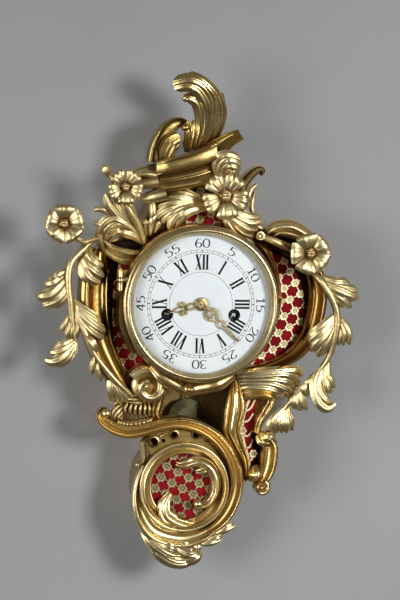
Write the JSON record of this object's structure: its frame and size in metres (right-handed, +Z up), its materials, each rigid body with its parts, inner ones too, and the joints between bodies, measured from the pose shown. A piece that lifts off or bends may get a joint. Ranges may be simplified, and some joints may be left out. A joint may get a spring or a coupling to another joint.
{
  "type": "cartel clock",
  "caption": "Rococo gilt bronze wall clock with a white enamel dial under a hinged glazed bezel, scrolling foliage and flowers, trellis panels over red silk and a short pendulum.",
  "frame": {"origin": "centre of the hanging hole, on the rear face of the case's back plate, which lies on the wall", "axes": "+X to the viewer's right when the clock is seen from the front, +Y into the wall, +Z up; the dial faces -Y"},
  "size_m": [0.3654, 0.103, 0.5465],
  "materials": {
    "gilt_bronze": "mercury-gilt bronze, matt chased leaves and burnished mouldings",
    "gilt_sheet": "sheet brass, thinly gilt and worn",
    "patinated_brass": "sheet brass darkened with age",
    "movement_brass": "polished movement brass",
    "aged_brass": "aged brass with a green tint",
    "bell_metal": "turned bell metal",
    "steel": "polished steel",
    "hand_gilt": "pierced and gilt brass",
    "enamel": "white vitreous enamel on copper, with dark numerals",
    "silk": "crimson silk stretched over card",
    "glass": "clear domed glass"
  },
  "bodies": {
    "case": {"case_back": "patinated_brass", "screws": "steel", "case_band": "gilt_sheet", "dial_ring": "gilt_bronze", "silk_panels": "silk", "trellis_left": "gilt_bronze", "trellis_right": "gilt_bronze", "trellis_roundel": "gilt_bronze", "trellis_small": "gilt_bronze", "left_frame": "gilt_bronze", "right_frame": "gilt_bronze", "right_arch": "gilt_bronze", "left_volute": "gilt_bronze", "lower_band": "gilt_bronze", "lower_frame": "gilt_bronze", "lower_leg": "gilt_bronze", "roundel_ring": "gilt_bronze", "roundel_scroll": "gilt_bronze", "roundel_leaf": "gilt_bronze", "left_shell": "gilt_bronze", "gallery": "gilt_bronze", "lower_bracket": "gilt_bronze", "right_wing": "gilt_bronze", "cornice": "gilt_bronze", "plume": "gilt_bronze", "arch_leaf": "gilt_bronze", "left_top_spray": "gilt_bronze", "left_top_scroll": "gilt_bronze", "centre_leaf": "gilt_bronze", "right_top_spray": "gilt_bronze", "left_branch": "gilt_bronze", "right_branch": "gilt_bronze", "false_plate": "movement_brass", "dial": "enamel", "front_plate": "movement_brass", "back_plate": "movement_brass", "bell": "bell_metal", "suspension_cock": "movement_brass", "bezel_hinge": "gilt_bronze"},
    "bezel_door": {"bezel": "gilt_bronze", "bezel_glass": "glass"},
    "minute_arbor": {"centre_arbor": "movement_brass", "cannon_pinion": "movement_brass", "minute_hand": "hand_gilt"},
    "hour_pipe": {"hour_wheel": "movement_brass", "hour_hand": "hand_gilt"},
    "minute_wheel_body": {"minute_wheel": "movement_brass"},
    "third_wheel_body": {"third_arbor": "movement_brass"},
    "escape_wheel_body": {"escape_arbor": "movement_brass"},
    "pallet_body": {"pallets": "steel"},
    "pendulum": {"pendulum_rod": "aged_brass", "pendulum_bob": "aged_brass"},
    "going_barrel_body": {"going_barrel": "movement_brass"},
    "going_winder": {"going_arbor": "steel"},
    "strike_barrel_body": {"strike_barrel": "movement_brass", "count_wheel": "movement_brass"},
    "strike_winder": {"strike_arbor": "steel"},
    "pin_wheel_body": {"pin_wheel": "movement_brass"},
    "fly_body": {"fly": "movement_brass"},
    "hammer_body": {"hammer": "steel"}
  },
  "joints": [
    {"name": "bezel_swing", "type": "hinge", "parent": "case", "child": "bezel_door", "pos_m": [-0.0905, -0.093, -0.074], "axis": [0, 0, -1], "range_deg": [0, 100]},
    {"name": "minute_turn", "type": "hinge", "parent": "case", "child": "minute_arbor", "pos_m": [0, -0.07, -0.1], "axis": [0, -1, 0], "continuous": true},
    {"name": "hour_turn", "type": "hinge", "parent": "case", "child": "hour_pipe", "pos_m": [0, -0.086, -0.1], "axis": [0, -1, 0], "continuous": true},
    {"name": "minute_wheel_turn", "type": "hinge", "parent": "case", "child": "minute_wheel_body", "pos_m": [0, -0.08, -0.12], "axis": [0, -1, 0], "continuous": true},
    {"name": "third_turn", "type": "hinge", "parent": "case", "child": "third_wheel_body", "pos_m": [0.024, -0.052, -0.073], "axis": [0, -1, 0], "continuous": true},
    {"name": "escape_turn", "type": "hinge", "parent": "case", "child": "escape_wheel_body", "pos_m": [0, -0.052, -0.06], "axis": [0, -1, 0], "continuous": true},
    {"name": "going_barrel_turn", "type": "hinge", "parent": "case", "child": "going_barrel_body", "pos_m": [0.0375, -0.05, -0.112], "axis": [0, -1, 0], "continuous": true},
    {"name": "pendulum_swing", "type": "hinge", "parent": "case", "child": "pendulum", "pos_m": [0, -0.012, -0.046], "axis": [0, -1, 0], "range_deg": [-6, 6]},
    {"name": "pallet_swing", "type": "hinge", "parent": "case", "child": "pallet_body", "pos_m": [0, -0.04, -0.046], "axis": [0, -1, 0], "range_deg": [-6, 6]},
    {"name": "going_wind", "type": "hinge", "parent": "case", "child": "going_winder", "pos_m": [0.0375, -0.07, -0.112], "axis": [0, -1, 0], "range_deg": [-1440, 0]},
    {"name": "strike_wind", "type": "hinge", "parent": "case", "child": "strike_winder", "pos_m": [-0.0375, -0.07, -0.112], "axis": [0, -1, 0], "range_deg": [0, 1440]},
    {"name": "strike_barrel_turn", "type": "hinge", "parent": "case", "child": "strike_barrel_body", "pos_m": [-0.0375, -0.05, -0.112], "axis": [0, -1, 0], "continuous": true},
    {"name": "pin_wheel_turn", "type": "hinge", "parent": "case", "child": "pin_wheel_body", "pos_m": [-0.02818, -0.052, -0.07723], "axis": [0, -1, 0], "continuous": true},
    {"name": "fly_turn", "type": "hinge", "parent": "case", "child": "fly_body", "pos_m": [-0.03226, -0.052, -0.05408], "axis": [0, -1, 0], "continuous": true},
    {"name": "hammer_swing", "type": "hinge", "parent": "case", "child": "hammer_body", "pos_m": [-0.054, -0.05, -0.066], "axis": [0, -1, 0], "range_deg": [0, 12]}
  ],
  "couplings": [
    {"joint": "hour_turn", "follows": "minute_turn", "ratio": 0.083333},
    {"joint": "minute_wheel_turn", "follows": "minute_turn", "ratio": -0.33333},
    {"joint": "third_turn", "follows": "minute_turn", "ratio": -12},
    {"joint": "escape_turn", "follows": "minute_turn", "ratio": 132},
    {"joint": "going_barrel_turn", "follows": "minute_turn", "ratio": -0.16667},
    {"joint": "pallet_swing", "follows": "pendulum_swing", "ratio": 1},
    {"joint": "pin_wheel_turn", "follows": "strike_barrel_turn", "ratio": -9},
    {"joint": "fly_turn", "follows": "strike_barrel_turn", "ratio": 81}
  ]
}
